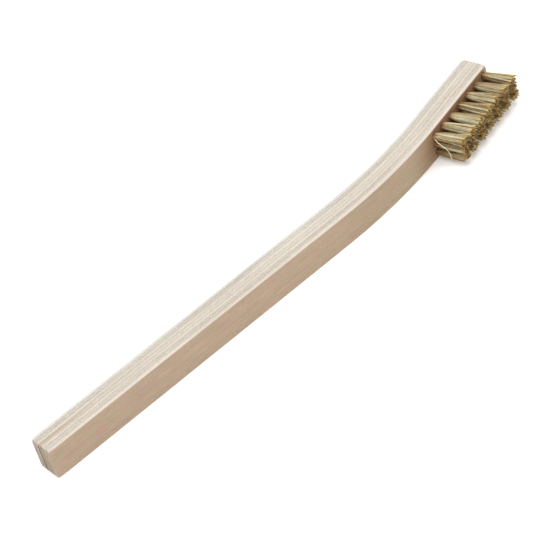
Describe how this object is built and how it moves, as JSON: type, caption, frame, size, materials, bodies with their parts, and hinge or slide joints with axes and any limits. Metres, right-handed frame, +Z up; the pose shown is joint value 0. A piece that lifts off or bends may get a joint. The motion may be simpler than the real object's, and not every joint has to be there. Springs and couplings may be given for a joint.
{
  "type": "brass scratch brush",
  "caption": "Small brass wire scratch brush: slim bent plywood handle with short staple-set tufts in columns along its head.",
  "frame": {"origin": "middle of the bounding box's underside, with the brush lying on one cut side of its handle", "axes": "+X along the handle from the tail to the tip, tufts pointing to -Y, +Z up across the handle's width"},
  "size_m": [0.2006, 0.0288, 0.0117],
  "materials": {
    "face_veneer": "sanded birch veneer, warm tan on its face",
    "long_grain_ply": "sawn and sanded birch, grain along the handle",
    "cross_grain_ply": "sawn and sanded birch, end grain showing on the cut sides",
    "brass_wire": "fine drawn wire, dull khaki gold",
    "anchor_wire": "flat drawn wire"
  },
  "bodies": {
    "handle": {"back_face_veneer": "face_veneer", "cross_ply_back": "cross_grain_ply", "long_ply_back": "long_grain_ply", "core_ply": "cross_grain_ply", "long_ply_front": "long_grain_ply", "cross_ply_front": "cross_grain_ply", "bristle_face_veneer": "face_veneer", "anchor_1_lower": "anchor_wire", "anchor_1_middle": "anchor_wire", "anchor_1_upper": "anchor_wire", "anchor_2_lower": "anchor_wire", "anchor_2_middle": "anchor_wire", "anchor_2_upper": "anchor_wire", "anchor_3_lower": "anchor_wire", "anchor_3_middle": "anchor_wire", "anchor_3_upper": "anchor_wire", "anchor_4_lower": "anchor_wire", "anchor_4_middle": "anchor_wire", "anchor_4_upper": "anchor_wire", "anchor_5_lower": "anchor_wire", "anchor_5_middle": "anchor_wire", "anchor_5_upper": "anchor_wire", "anchor_6_lower": "anchor_wire", "anchor_6_middle": "anchor_wire", "anchor_6_upper": "anchor_wire", "anchor_7_lower": "anchor_wire", "anchor_7_middle": "anchor_wire", "anchor_7_upper": "anchor_wire"},
    "row_1": {"tuft_1_lower": "brass_wire", "tuft_1_middle": "brass_wire", "tuft_1_upper": "brass_wire"},
    "row_2": {"tuft_2_lower": "brass_wire", "tuft_2_middle": "brass_wire", "tuft_2_upper": "brass_wire"},
    "row_3": {"tuft_3_lower": "brass_wire", "tuft_3_middle": "brass_wire", "tuft_3_upper": "brass_wire"},
    "row_4": {"tuft_4_lower": "brass_wire", "tuft_4_middle": "brass_wire", "tuft_4_upper": "brass_wire"},
    "row_5": {"tuft_5_lower": "brass_wire", "tuft_5_middle": "brass_wire", "tuft_5_upper": "brass_wire"},
    "row_6": {"tuft_6_lower": "brass_wire", "tuft_6_middle": "brass_wire", "tuft_6_upper": "brass_wire"},
    "row_7": {"tuft_7_lower": "brass_wire", "tuft_7_middle": "brass_wire", "tuft_7_upper": "brass_wire"}
  },
  "joints": [
    {"name": "row_1_flex", "type": "hinge", "parent": "handle", "child": "row_1", "pos_m": [0.0652, -0.00225, 0.00585], "axis": [0, 0, 1], "range_deg": [-12, 12], "stiffness_Nm_per_rad": 0.34, "deforming": ["tuft_1_lower", "tuft_1_middle", "tuft_1_upper"]},
    {"name": "row_2_flex", "type": "hinge", "parent": "handle", "child": "row_2", "pos_m": [0.07018, -0.001, 0.00585], "axis": [0, 0, 1], "range_deg": [-12, 12], "stiffness_Nm_per_rad": 0.34, "deforming": ["tuft_2_lower", "tuft_2_middle", "tuft_2_upper"]},
    {"name": "row_3_flex", "type": "hinge", "parent": "handle", "child": "row_3", "pos_m": [0.07517, 0.00026, 0.00585], "axis": [0, 0, 1], "range_deg": [-12, 12], "stiffness_Nm_per_rad": 0.34, "deforming": ["tuft_3_lower", "tuft_3_middle", "tuft_3_upper"]},
    {"name": "row_4_flex", "type": "hinge", "parent": "handle", "child": "row_4", "pos_m": [0.08015, 0.00151, 0.00585], "axis": [0, 0, 1], "range_deg": [-12, 12], "stiffness_Nm_per_rad": 0.34, "deforming": ["tuft_4_lower", "tuft_4_middle", "tuft_4_upper"]},
    {"name": "row_5_flex", "type": "hinge", "parent": "handle", "child": "row_5", "pos_m": [0.08514, 0.00276, 0.00585], "axis": [0, 0, 1], "range_deg": [-12, 12], "stiffness_Nm_per_rad": 0.34, "deforming": ["tuft_5_lower", "tuft_5_middle", "tuft_5_upper"]},
    {"name": "row_6_flex", "type": "hinge", "parent": "handle", "child": "row_6", "pos_m": [0.09012, 0.00401, 0.00585], "axis": [0, 0, 1], "range_deg": [-12, 12], "stiffness_Nm_per_rad": 0.34, "deforming": ["tuft_6_lower", "tuft_6_middle", "tuft_6_upper"]},
    {"name": "row_7_flex", "type": "hinge", "parent": "handle", "child": "row_7", "pos_m": [0.09511, 0.00526, 0.00585], "axis": [0, 0, 1], "range_deg": [-12, 12], "stiffness_Nm_per_rad": 0.34, "deforming": ["tuft_7_lower", "tuft_7_middle", "tuft_7_upper"]}
  ],
  "couplings": [
    {"joint": "row_1_flex", "follows": "row_4_flex", "ratio": 1},
    {"joint": "row_2_flex", "follows": "row_4_flex", "ratio": 1},
    {"joint": "row_3_flex", "follows": "row_4_flex", "ratio": 1},
    {"joint": "row_5_flex", "follows": "row_4_flex", "ratio": 1},
    {"joint": "row_6_flex", "follows": "row_4_flex", "ratio": 1},
    {"joint": "row_7_flex", "follows": "row_4_flex", "ratio": 1}
  ]
}
